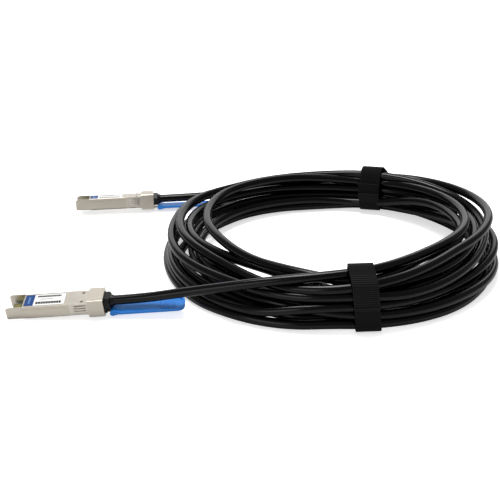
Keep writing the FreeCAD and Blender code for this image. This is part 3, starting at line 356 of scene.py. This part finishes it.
# %% [markdown]
# ## From resting places to one smooth line
# The turns follow each other without a break, so every full turn adds 360 degrees. Between two
# resting places the distance and the height ease from one to the other with a cubic curve, whose
# slope at a resting place is the weighted mean of the slopes on its two sides. That keeps the line
# smooth where the steps are uneven. The two free leads are short lists of points of their own.

# %% Easing between resting places
rests = [(angle + 360 * turn, out, up) for turn, row in enumerate(TURNS) for angle, out, up in row]


def slope(index, item):
    """How fast one value changes per degree at a resting place."""
    here = rests[index]
    before, after = rests[max(0, index - 1)], rests[min(len(rests) - 1, index + 1)]
    back, on = here[0] - before[0], after[0] - here[0]
    if back == 0 or on == 0:
        return (after[item] - before[item]) / (back + on)
    return ((here[item] - before[item]) / back * on + (after[item] - here[item]) / on * back) / (back + on)


def eased(index, item, angle):
    """One value at an angle between a resting place and the next."""
    start, end = rests[index], rests[index + 1]
    span = end[0] - start[0]
    t = (angle - start[0]) / span
    return ((2 * t ** 3 - 3 * t * t + 1) * start[item] + (t ** 3 - 2 * t * t + t) * span * slope(index, item)
            + (3 * t * t - 2 * t ** 3) * end[item] + (t ** 3 - t * t) * span * slope(index + 1, item))


print("wound through", round(rests[-1][0] - rests[0][0]), "degrees")

# %% One line for the whole cable
LEAD_NEAR = [(0.0028, -0.0800, 0.00956), (0.02065, -0.07998, 0.01083), (0.0418, -0.0820, 0.0154),
             (0.0673, -0.0866, 0.0216), (0.0860, -0.0896, 0.0259), (0.1045, -0.0914, 0.0291),
             (0.1221, -0.0918, 0.0310)]
LEAD_FAR = [(0.1045, 0.0816, 0.0202), (0.0888, 0.0810, 0.0172), (0.0638, 0.0801, 0.0106),
            (0.03265, 0.0799, 0.0081), (0.01487, 0.07782, 0.00802)]
STEP = 12    # degrees from one point of the line to the next
WIDEN = 1 / math.cos(math.radians(STEP / 2))    # a smooth line cuts inside its points by this much


def coil_point(angle):
    """Where the line's point lies at an angle counted on through all the turns."""
    index = max(i for i, rest in enumerate(rests[:-1]) if rest[0] <= angle or i == 0)
    out, up = eased(index, 1, angle) * WIDEN / 1000, eased(index, 2, angle) / 1000
    turn = math.radians(angle)
    return COIL_CENTRE[0] + out * math.cos(turn), COIL_CENTRE[1] + out * math.sin(turn), up


steps = int((rests[-1][0] - rests[0][0]) / STEP)
route = LEAD_NEAR + [coil_point(rests[0][0] + STEP * step) for step in range(steps + 1)] + LEAD_FAR
print("cable points", len(route), "of them in the coil", steps + 1)

# %% [markdown]
# ## The cable
# The real cable is one length from module to module, so it is one curve with a round bevel. A mesh
# tube would do too, but a curve stays round however it bends, and its smooth spline bends as a
# stiff cable does. The CAD model stands a ring and two tubes in its place, which are hidden here.

# %% Draw the cable
cable_data = bpy.data.curves.new("cable", "CURVE")
cable_data.dimensions = "3D"
cable_data.bevel_depth = CABLE / 2
cable_data.bevel_resolution = 5
cable_data.resolution_u = 5
spline = cable_data.splines.new("NURBS")
spline.points.add(len(route) - 1)
for point, (x, y, z) in zip(spline.points, route):
    point.co = (x, y, z, 1)
spline.order_u = 3    # set after the points, or it stays at straight runs
spline.use_endpoint_u = True
cable = bpy.data.objects.new("cable", cable_data)
bpy.context.scene.collection.objects.link(cable)
cable_data.materials.append(jacket)
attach(cable, "cable_and_housings")
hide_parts("cable_coil", "cable_lead_near", "cable_lead_far")
print("cable drawn,", round(CABLE * 1000, 1), "mm across")

# %% [markdown]
# ## The ties' cloth
# A hook-and-loop tie is a woven nylon ribbon with a field of hooks on one face and of loops on the
# other. The hooks stand in rows across the ribbon, so that side looks ribbed, and the loop side
# looks flat and fuzzy. The ribbon bends, so its texture can't be fixed in space: it is laid along
# the ribbon in real millimetres, with zero where the ribs begin. Cloth scatters light in its fuzz,
# which is why it gets a little sheen and hardly mirrors.

# %% The ties' cloth
RIB_PITCH = 1.2566        # mm from one row of hooks to the next
TUFTS_PER_MM = 2.2        # real loops are finer, too fine to show, so tufts of them are drawn
RIB_FADE = 0.8            # mm on either side of the place where the ribs begin
RIB_WANDER = 0.3          # how far a row strays from straight
CLOTH_RELIEF = 0.4        # mm
RELIEF_SHADE_SHARE = 0.6        # how much of the relief shows in the colour as painted shade, darker in the hollows
tie_cloth, tie_shader = new_finish("woven_hook_and_loop_nylon", "17181A", 0.85, ior=NYLON_IOR, mirror=0.15)
tie_shader.inputs["Sheen Weight"].default_value = 0.05
tie_shader.inputs["Sheen Roughness"].default_value = 0.5
cloth = tie_cloth.node_tree
on_ribbon = add_node(cloth, "ShaderNodeUVMap", uv_map="millimetres").outputs["UV"]
along_ribbon = add_node(cloth, "ShaderNodeSeparateXYZ", {"Vector": on_ribbon}).outputs["Y"]
on_the_hooks = add_node(cloth, "ShaderNodeMapRange",
                        {"Value": along_ribbon, "From Min": -RIB_FADE, "From Max": RIB_FADE})
# a wave node repeats every 2 pi / 20 of its scaled length
ribs = add_node(cloth, "ShaderNodeTexWave", {"Vector": on_ribbon, "Scale": 2 * math.pi / 20 / RIB_PITCH,
                                             "Distortion": RIB_WANDER}, bands_direction="Y")
ribs_there = add_node(cloth, "ShaderNodeMath", {0: ribs.outputs["Fac"], 1: on_the_hooks.outputs["Result"]},
                      operation="MULTIPLY")
fuzz = add_node(cloth, "ShaderNodeTexNoise", {"Vector": on_ribbon, "Scale": TUFTS_PER_MM, "Detail": 4.0})
raised = add_node(cloth, "ShaderNodeMath", {0: ribs_there.outputs["Value"], 1: fuzz.outputs["Fac"]},
                  operation="ADD").outputs["Value"]
print("cloth nodes", len(cloth.nodes))

# %% Relief, and painted shade in the colour, from the same threads
bump = add_node(cloth, "ShaderNodeBump", {"Height": raised, "Strength": 1.0, "Distance": CLOTH_RELIEF / 1000})
cloth.links.new(bump.outputs["Normal"], tie_shader.inputs["Normal"])
# painted shade: the colour is darker where the relief is low, between rows of hooks and between tufts, and
# lighter where it is raised
relief_shade = add_node(cloth, "ShaderNodeMath", {0: raised, 1: RELIEF_SHADE_SHARE}, operation="MULTIPLY")
relief_shaded_tie_colour = add_node(cloth, "ShaderNodeMix",
                      {"Factor": relief_shade.outputs["Value"], MIX_A: linear("040405"), MIX_B: linear("161617")},
                      data_type="RGBA")
cloth.links.new(relief_shaded_tie_colour.outputs[MIX_RESULT], tie_shader.inputs["Base Color"])
print("cloth nodes", len(cloth.nodes))

# %% [markdown]
# ## The path of a tie
# A tie is pulled tight, so its path is the bundle's own outline: for each direction in turn, the
# strand that sticks out furthest, plus the cable's radius. The ribbon starts on the bundle's front
# face, dives under it, comes up behind, crosses the top and ends on its own first layer. A cloth
# simulation could find the same path, but a ribbon under tension has only this one, so it is
# worked out directly.

# %% What each tie is like
STRAP = 0.0011        # the ribbon's thickness with its pile
TIE_WIDTH = 0.0144
# angle: where on the coil it sits; place: where it stands, from the coil's centre; turned: degrees
# about z; middle: the middle of its bundle, mm from the coil's centre; towards: 1 where its front
# face looks out of the coil and -1 where it looks in; lean and sweep: how far it tilts and slews;
# ribbed: the length of hooks that shows; pucker: how loose it lies on top; stop: how far up the
# bundle the outer end stops
TIES = {
    "near": {"angle": NEAR, "place": (0.0115, -0.0876), "turned": 4.0, "middle": 87.6, "towards": 1,
             "lean": -0.13, "sweep": 0.0, "ribbed": 0.024, "pucker": 0.0, "stop": 0.55},
    "far": {"angle": FAR, "place": (0.0358, 0.0866), "turned": -10.0, "middle": 93.7, "towards": -1,
            "lean": -0.12, "sweep": 0.42, "ribbed": 0.006, "pucker": 0.0010, "stop": 0.6},
}


def bundle(tie):
    """Where the strands cross a tie: (across, up) in metres, with the front face at minus."""
    return [(tie["towards"] * (tie["middle"] - out) / 1000, up / 1000)
            for row in TURNS for angle, out, up in row if angle == tie["angle"]]


print("strands through each tie", [len(bundle(tie)) for tie in TIES.values()])

# %% The ribbon's path
# each layer's distance from a strand's middle
FIRST_LAYER, SECOND_LAYER = CABLE / 2 + STRAP * 0.6, CABLE / 2 + STRAP * 1.7
INNER_END = 0.86      # how far up the bundle the inner end starts
RIBBON_STEP = 0.0012


def around(strands, reach, directions, pucker):
    """Points of a tight loop round the strands, one for each direction in degrees."""
    loop = []
    for degrees in directions:
        aim = (math.cos(math.radians(degrees)), math.sin(math.radians(degrees)))
        furthest = max(strands, key=lambda strand: strand[0] * aim[0] + strand[1] * aim[1])
        lift = pucker * max(0.0, aim[1]) ** 2
        loop.append((furthest[0] + reach * aim[0], max(STRAP * 0.6, furthest[1] + reach * aim[1]) + lift))
    return loop


def ribbon_path(tie):
    """The ribbon's path as (across, up) points a step apart, and where its face is."""
    strands = bundle(tie)
    top = max(up for _, up in strands)
    face = min(across for across, _ in strands) - FIRST_LAYER
    corners = [(face, top * INNER_END)] + around(strands, FIRST_LAYER, range(180, 411, 10), 0)
    corners += around(strands, SECOND_LAYER, range(70, 181, 10), tie["pucker"])
    corners.append((face - STRAP * 1.1, top * tie["stop"]))
    path = []
    for (a0, b0), (a1, b1) in zip(corners, corners[1:]):
        pieces = max(1, round(math.dist((a0, b0), (a1, b1)) / RIBBON_STEP))
        path += [(a0 + (a1 - a0) * k / pieces, b0 + (b1 - b0) * k / pieces) for k in range(pieces)]
    return path + [corners[-1]], face


for side, tie in TIES.items():
    print(side, "path points", len(ribbon_path(tie)[0]))

# %% [markdown] ## From path to ribbon The path is spread sideways into a strip of small faces, and
# each corner of a face notes where it lies on the ribbon in millimetres, for the cloth's texture.
# The strip gets its thickness and its soft edges from two modifiers, which are easier to change
# than modelled thickness.

# %% The ribbon's mesh
RIBBON_COLUMNS = 10
LEAN_FROM = 0.018     # the height at which a leaning tie is in its place
SWEEP_RISE = 0.025    # a slewed tie is slewed in full about this high up


def ribbon_mesh(tie, path, face, length):
    """A strip along the path, with a UV map in millimetres along the ribbon."""
    mesh = bmesh.new()
    uv = mesh.loops.layers.uv.new("millimetres")
    rows, run, place_uv = [], 0.0, {}
    for index, (across, up) in enumerate(path):
        if index:
            run += math.dist(path[index - 1], path[index])
        slewed = max(0.0, across - face) * max(0.0, min(1.0, up / SWEEP_RISE - 0.1))
        shift = tie["lean"] * (up - LEAN_FROM) + tie["sweep"] * slewed
        row = []
        for column in range(RIBBON_COLUMNS + 1):
            along = TIE_WIDTH * (column / RIBBON_COLUMNS - 0.5)
            vertex = mesh.verts.new((along + shift, across, up))
            place_uv[vertex] = (along * 1000, (run - length + tie["ribbed"]) * 1000)
            row.append(vertex)
        rows.append(row)
    for row, onward in zip(rows, rows[1:]):
        for a, b, c, d in zip(row, row[1:], onward[1:], onward):
            quad = mesh.faces.new((a, b, c, d))
            quad.smooth = True
            for loop in quad.loops:
                loop[uv].uv = place_uv[loop.vert]
    return mesh


print("ribbon", TIE_WIDTH * 1000, "mm wide in", RIBBON_COLUMNS, "columns")

# %% The two ties
SOLID_SHARE = 0.9     # of the ribbon's thickness; the rest is open pile
SOFT_EDGE = 0.0003


def make_strap(side):
    """One tie: its mesh, its thickness and its cloth, fixed to the cable's body."""
    tie = TIES[side]
    path, face = ribbon_path(tie)
    length = sum(math.dist(a, b) for a, b in zip(path, path[1:]))
    mesh = ribbon_mesh(tie, path, face, length)
    data = bpy.data.meshes.new("tie_" + side)
    mesh.to_mesh(data)
    mesh.free()
    strap = bpy.data.objects.new("tie_strap_" + side, data)
    bpy.context.scene.collection.objects.link(strap)
    dx, dy = tie["place"]
    data.transform(Matrix.Translation((COIL_CENTRE[0] + dx, COIL_CENTRE[1] + dy, 0))
                   @ Matrix.Rotation(math.radians(tie["turned"]), 4, "Z"))
    data.materials.append(tie_cloth)
    thick = strap.modifiers.new("thickness", "SOLIDIFY")
    thick.thickness = STRAP * SOLID_SHARE
    thick.offset = 0
    soft = strap.modifiers.new("edges", "BEVEL")
    soft.width = SOFT_EDGE
    soft.segments = 2
    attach(strap, "cable_and_housings")
    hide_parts("cable_tie_" + side)
    print(side, "strap length mm", round(length * 1000, 1))


for side in ("near", "far"):
    make_strap(side)

# %% [markdown]
# ## The label on each module
# The label is a thin film with rounded corners, stuck in a shallow recess on top of the module. It
# could be a picture on a plane. Here it is a real thin plate, so its edge catches light, and each
# point of it notes its place on the label in millimetres, which the print needs.

# %% The label's plate
# in the module's millimetres
LABEL_FROM, LABEL_TO = 10.2, 34.2    # from the mating end
LABEL_HALF = 5.7
LABEL_UNDER, LABEL_TOP = 8.34, 8.46
LABEL_CORNER = 0.5
CORNER_STEPS = 6


def label_outline():
    """The label's rounded outline, in the module's millimetres, going round from its far corner."""
    ring = []
    far_x, near_x, side_y = LABEL_TO - LABEL_CORNER, LABEL_FROM + LABEL_CORNER, LABEL_HALF - LABEL_CORNER
    middles = ((far_x, side_y), (near_x, side_y), (near_x, -side_y), (far_x, -side_y))
    for quarter, (cx, cy) in enumerate(middles):
        for step in range(CORNER_STEPS + 1):
            angle = math.radians(90 * quarter + 90 / CORNER_STEPS * step)
            ring.append((cx + LABEL_CORNER * math.cos(angle), cy + LABEL_CORNER * math.sin(angle)))
    return ring


def make_label(side):
    """One label: a thin plate on its module, with a UV map in millimetres from its low corner."""
    mesh = bmesh.new()
    uv = mesh.loops.layers.uv.new("millimetres")
    ring = label_outline()
    top = [mesh.verts.new((x, y, LABEL_TOP)) for x, y in ring]
    bottom = [mesh.verts.new((x, y, LABEL_UNDER)) for x, y in ring]
    mesh.faces.new(top)
    mesh.faces.new(bottom[::-1])
    for k in range(len(ring)):
        following = (k + 1) % len(ring)
        mesh.faces.new((bottom[k], bottom[following], top[following], top[k]))
    for face in mesh.faces:
        for loop in face.loops:
            loop[uv].uv = (loop.vert.co.x - LABEL_FROM, loop.vert.co.y + LABEL_HALF)
    data = bpy.data.meshes.new("label_" + side)
    mesh.to_mesh(data)
    mesh.free()
    data.transform(modules[side] @ Matrix.Scale(0.001, 4))
    data.materials.append(film)
    plate = bpy.data.objects.new("label_" + side, data)
    bpy.context.scene.collection.objects.link(plate)
    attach(plate, "cable_and_housings")
    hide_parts(side + "_label")


print("label", round(LABEL_TO - LABEL_FROM, 1), "by", 2 * LABEL_HALF, "mm")

# %% [markdown]
# ## The label's print
# A real label carries a coloured band and rows of small characters. This one is generic: a blue
# band with one pale bar, and rows of plain dashes that spell nothing. Each printed area is a
# rectangle on the label, worked out from its coordinates, so the edges stay sharp however close
# the view comes, which an image would not manage.

# %% What is printed
# low x, high x, low y, high y in mm; for a row of dashes its pitch and the share inked; the ink
EDGE_GREY = "8F8B82"
PRINT = [
    ((0.3, 23.7, 0.5, 10.9), None, "E6E6E4"),            # the white face inside a greyish cut edge
    ((0.3, 5.6, 0.5, 10.9), None, "053A7A"),             # the dark blue band
    ((2.3, 3.3, 2.6, 8.8), None, "5580B4"),              # the pale bar on it
    ((7.2, 21.0, 8.2, 9.8), (1.1, 0.88), "0C0C0C"),      # three rows of dashes
    ((9.0, 16.5, 6.0, 6.7), (0.8, 0.7), "6E6E6E"),
    ((6.6, 21.6, 1.8, 4.0), (1.5, 0.86), "0C0C0C"),
]
tree = film.node_tree
label_uv = add_node(tree, "ShaderNodeUVMap", uv_map="millimetres").outputs["UV"]
on_label = add_node(tree, "ShaderNodeSeparateXYZ", {"Vector": label_uv}).outputs


def inside(low_x, high_x, low_y, high_y):
    """1 inside a rectangle of the label, in millimetres, and 0 outside it."""
    product = None
    for axis, limit, operation in (("X", low_x, "GREATER_THAN"), ("X", high_x, "LESS_THAN"),
                                   ("Y", low_y, "GREATER_THAN"), ("Y", high_y, "LESS_THAN")):
        test = add_node(tree, "ShaderNodeMath", {0: on_label[axis], 1: limit}, operation=operation)
        if product is not None:
            test = add_node(tree, "ShaderNodeMath", {0: product, 1: test.outputs["Value"]},
                            operation="MULTIPLY")
        product = test.outputs["Value"]
    return product


def dashes(pitch, inked):
    """1 on the dashes of a row and 0 between them."""
    folded = add_node(tree, "ShaderNodeMath", {0: on_label["X"], 1: pitch / 2}, operation="PINGPONG")
    return add_node(tree, "ShaderNodeMath", {0: folded.outputs["Value"], 1: pitch / 2 * inked},
                    operation="LESS_THAN").outputs["Value"]


print("printed areas", len(PRINT))

# %% Print and place the labels
painted = linear(EDGE_GREY)
for rectangle, row, ink in PRINT:
    area = inside(*rectangle)
    if row:
        inked = add_node(tree, "ShaderNodeMath", {0: area, 1: dashes(*row)}, operation="MULTIPLY")
        area = inked.outputs["Value"]
    painted = add_node(tree, "ShaderNodeMix", {"Factor": area, MIX_A: painted, MIX_B: linear(ink)},
                       data_type="RGBA").outputs[MIX_RESULT]
tree.links.new(painted, film_shader.inputs["Base Color"])
for side in ("near", "far"):
    make_label(side)
print("label nodes", len(tree.nodes))

# %% [markdown] ## The return springs Two springs under each collar push the latch slider home
# after a pull. A compression spring is one round wire wound into a helix, so a curve with a round
# bevel draws it exactly.

# %% The springs' wire
SPRING_TURNS = 5
SPRING_WIRE = 0.00011     # the wire's radius
POINTS_PER_TURN = 12


def spring_room(side):
    """The lowest and highest corner of the CAD spring on the plus side, in the module's frame."""
    to_module = modules[side].inverted()
    corners = [to_module @ vertex.co for vertex in nodes[side + "_return_springs"].data.vertices]
    found = [corner for corner in corners if corner.y > 0]
    return [Vector([outermost(corner[i] for corner in found) for i in range(3)]) for outermost in (min, max)]


def spring_wires(side, low, high):
    """Both springs of a module as one curve with a round bevel."""
    wire = bpy.data.curves.new("spring_line_" + side, "CURVE")
    wire.dimensions = "3D"
    wire.bevel_depth = SPRING_WIRE
    wire.bevel_resolution = 3
    middle, radius = (low + high) / 2, (high.y - low.y) / 2 - SPRING_WIRE
    run, steps = high.x - low.x - 2 * SPRING_WIRE, SPRING_TURNS * POINTS_PER_TURN
    for across in (-1, 1):
        line = wire.splines.new("NURBS")
        line.points.add(steps)
        for step, point in enumerate(line.points):
            angle = 2 * math.pi * step / POINTS_PER_TURN
            place = Vector((low.x + SPRING_WIRE + run * step / steps,
                            across * middle.y + radius * math.cos(angle),
                            middle.z + radius * math.sin(angle)))
            point.co = (*(modules[side] @ place), 1)
        line.order_u = 3
        line.use_endpoint_u = True
    return wire


for side in modules:
    low, high = spring_room(side)
    print(side, "room for a spring, mm", [round(v * 1000, 2) for v in high - low])

# %% Make the springs
def make_springs(side):
    """Both springs of a module as one mesh of its own."""
    low, high = spring_room(side)
    helper = bpy.data.objects.new("spring_helper_" + side, spring_wires(side, low, high))
    bpy.context.scene.collection.objects.link(helper)
    bpy.context.view_layer.update()
    mesh = bpy.data.meshes.new_from_object(helper.evaluated_get(bpy.context.evaluated_depsgraph_get()))
    bpy.data.objects.remove(helper)
    mesh.materials.clear()
    mesh.materials.append(spring_wire)
    springs = bpy.data.objects.new("springs_" + side, mesh)
    bpy.context.scene.collection.objects.link(springs)
    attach(springs, "cable_and_housings")
    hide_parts(side + "_return_springs")
    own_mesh(springs)
    print(side, "springs, mm at rest", round((high.x - low.x) * 1000, 2))


for side in ("near", "far"):
    make_springs(side)

# %% [markdown]
# ## The floor
# The cable lies on a white sweep of studio paper. To the camera the floor has to look nearly white
# and still hold a soft shadow, so camera rays see white paper with a glow of its own. Every other
# ray sees a plain grey paper, so that the floor doesn't flood the object with light from below.

# %% Floor
WHITE = (1, 1, 1, 1)
FLOOR_HALF = 3
FLOOR_UNDER = 0.0001    # just below the lowest piece, so the two don't share a plane
GLOW_STRENGTH = 0.6
DIM_GREY = (0.62, 0.62, 0.62, 1)
floor_mesh = bpy.data.meshes.new("floor")
floor_mesh.from_pydata([(x * FLOOR_HALF, y * FLOOR_HALF, 0) for x, y in ((-1, -1), (1, -1), (1, 1), (-1, 1))],
                       [], [(0, 1, 2, 3)])
floor = bpy.data.objects.new("floor", floor_mesh)
floor.location = (0.1, 0, -FLOOR_UNDER)
bpy.context.scene.collection.objects.link(floor)
paper, paper_shader = new_finish("white_studio_sweep", "F4F4F4", 0.9)
floor_mesh.materials.append(paper)
tree = paper.node_tree
camera_ray = add_node(tree, "ShaderNodeLightPath").outputs["Is Camera Ray"]
glow = add_node(tree, "ShaderNodeEmission", {"Color": WHITE, "Strength": GLOW_STRENGTH}).outputs["Emission"]
seen = add_node(tree, "ShaderNodeAddShader", {0: paper_shader.outputs["BSDF"], 1: glow}).outputs["Shader"]
dim = add_node(tree, "ShaderNodeBsdfDiffuse", {"Color": DIM_GREY}).outputs["BSDF"]
shown = add_node(tree, "ShaderNodeMixShader", {"Fac": camera_ray, 1: dim, 2: seen})
tree.links.new(shown.outputs["Shader"], tree.nodes["Material Output"].inputs["Surface"])
print("floor", 2 * FLOOR_HALF, "m square")

# %% [markdown]
# ## The room
# The object should stand against plain white without being washed out by it. So the world answers
# three kinds of ray differently: the camera sees white, surfaces are lit by a dimmer white, and
# reflections see a dark room, which keeps the black jacket black between its lines of light.

# %% Room
SURFACE_LIGHT, MIRRORED_LIGHT = 0.45, 0.2    # how bright surfaces and reflections find the room
world = bpy.data.worlds.new("studio")
bpy.context.scene.world = world
world.use_nodes = True
tree = world.node_tree
room = tree.nodes["Background"]
room.inputs["Color"].default_value = WHITE
room.inputs["Strength"].default_value = SURFACE_LIGHT
rays = add_node(tree, "ShaderNodeLightPath").outputs
dark_room = add_node(tree, "ShaderNodeBackground", {"Color": WHITE, "Strength": MIRRORED_LIGHT})
backdrop = add_node(tree, "ShaderNodeBackground", {"Color": WHITE})
lit = add_node(tree, "ShaderNodeMixShader", {"Fac": rays["Is Glossy Ray"], 1: room.outputs["Background"],
                                             2: dark_room.outputs["Background"]})
shown = add_node(tree, "ShaderNodeMixShader", {"Fac": rays["Is Camera Ray"], 1: lit.outputs["Shader"],
                                               2: backdrop.outputs["Background"]})
tree.links.new(shown.outputs["Shader"], tree.nodes["World Output"].inputs["Surface"])
print("room nodes", len(tree.nodes))

# %% [markdown]
# ## The lamps
# Three softboxes light the cable. One above gives the tops of the strands their line of light, a
# wide one behind draws a second line along the back of the coil and lights the modules' tops, and
# a small one at the front keeps the near sides readable. Their powers are low because the metal
# and the label are pale already. The label's plain white still comes out at full white in part.

# %% Lamps
LAMPS = {
    "top_softbox": {"at": (0.0, 0.1, 0.9), "aim": (0.1, 0, 0), "size": (0.45, 0.45), "watts": 7},
    "rear_softbox": {"at": (0.1, 1.3, 0.6), "aim": (0.1, 0, 0.1), "size": (2.2, 0.8), "watts": 8},
    "front_fill": {"at": (-0.5, -0.9, 0.45), "aim": (0, 0, 0), "size": (0.6, 0.6), "watts": 2},
}
for name, lamp in LAMPS.items():
    data = bpy.data.lights.new(name, "AREA")
    data.shape = "RECTANGLE"
    data.size, data.size_y = lamp["size"]
    data.energy = lamp["watts"]
    light = bpy.data.objects.new(name, data)
    light.location = lamp["at"]
    light.rotation_euler = (Vector(lamp["aim"]) - Vector(lamp["at"])).to_track_quat("-Z", "Y").to_euler()
    bpy.context.scene.collection.objects.link(light)
bpy.context.scene.view_settings.view_transform = "Standard"
print("lamps", len(LAMPS))

# %% [markdown] ## End of the scene
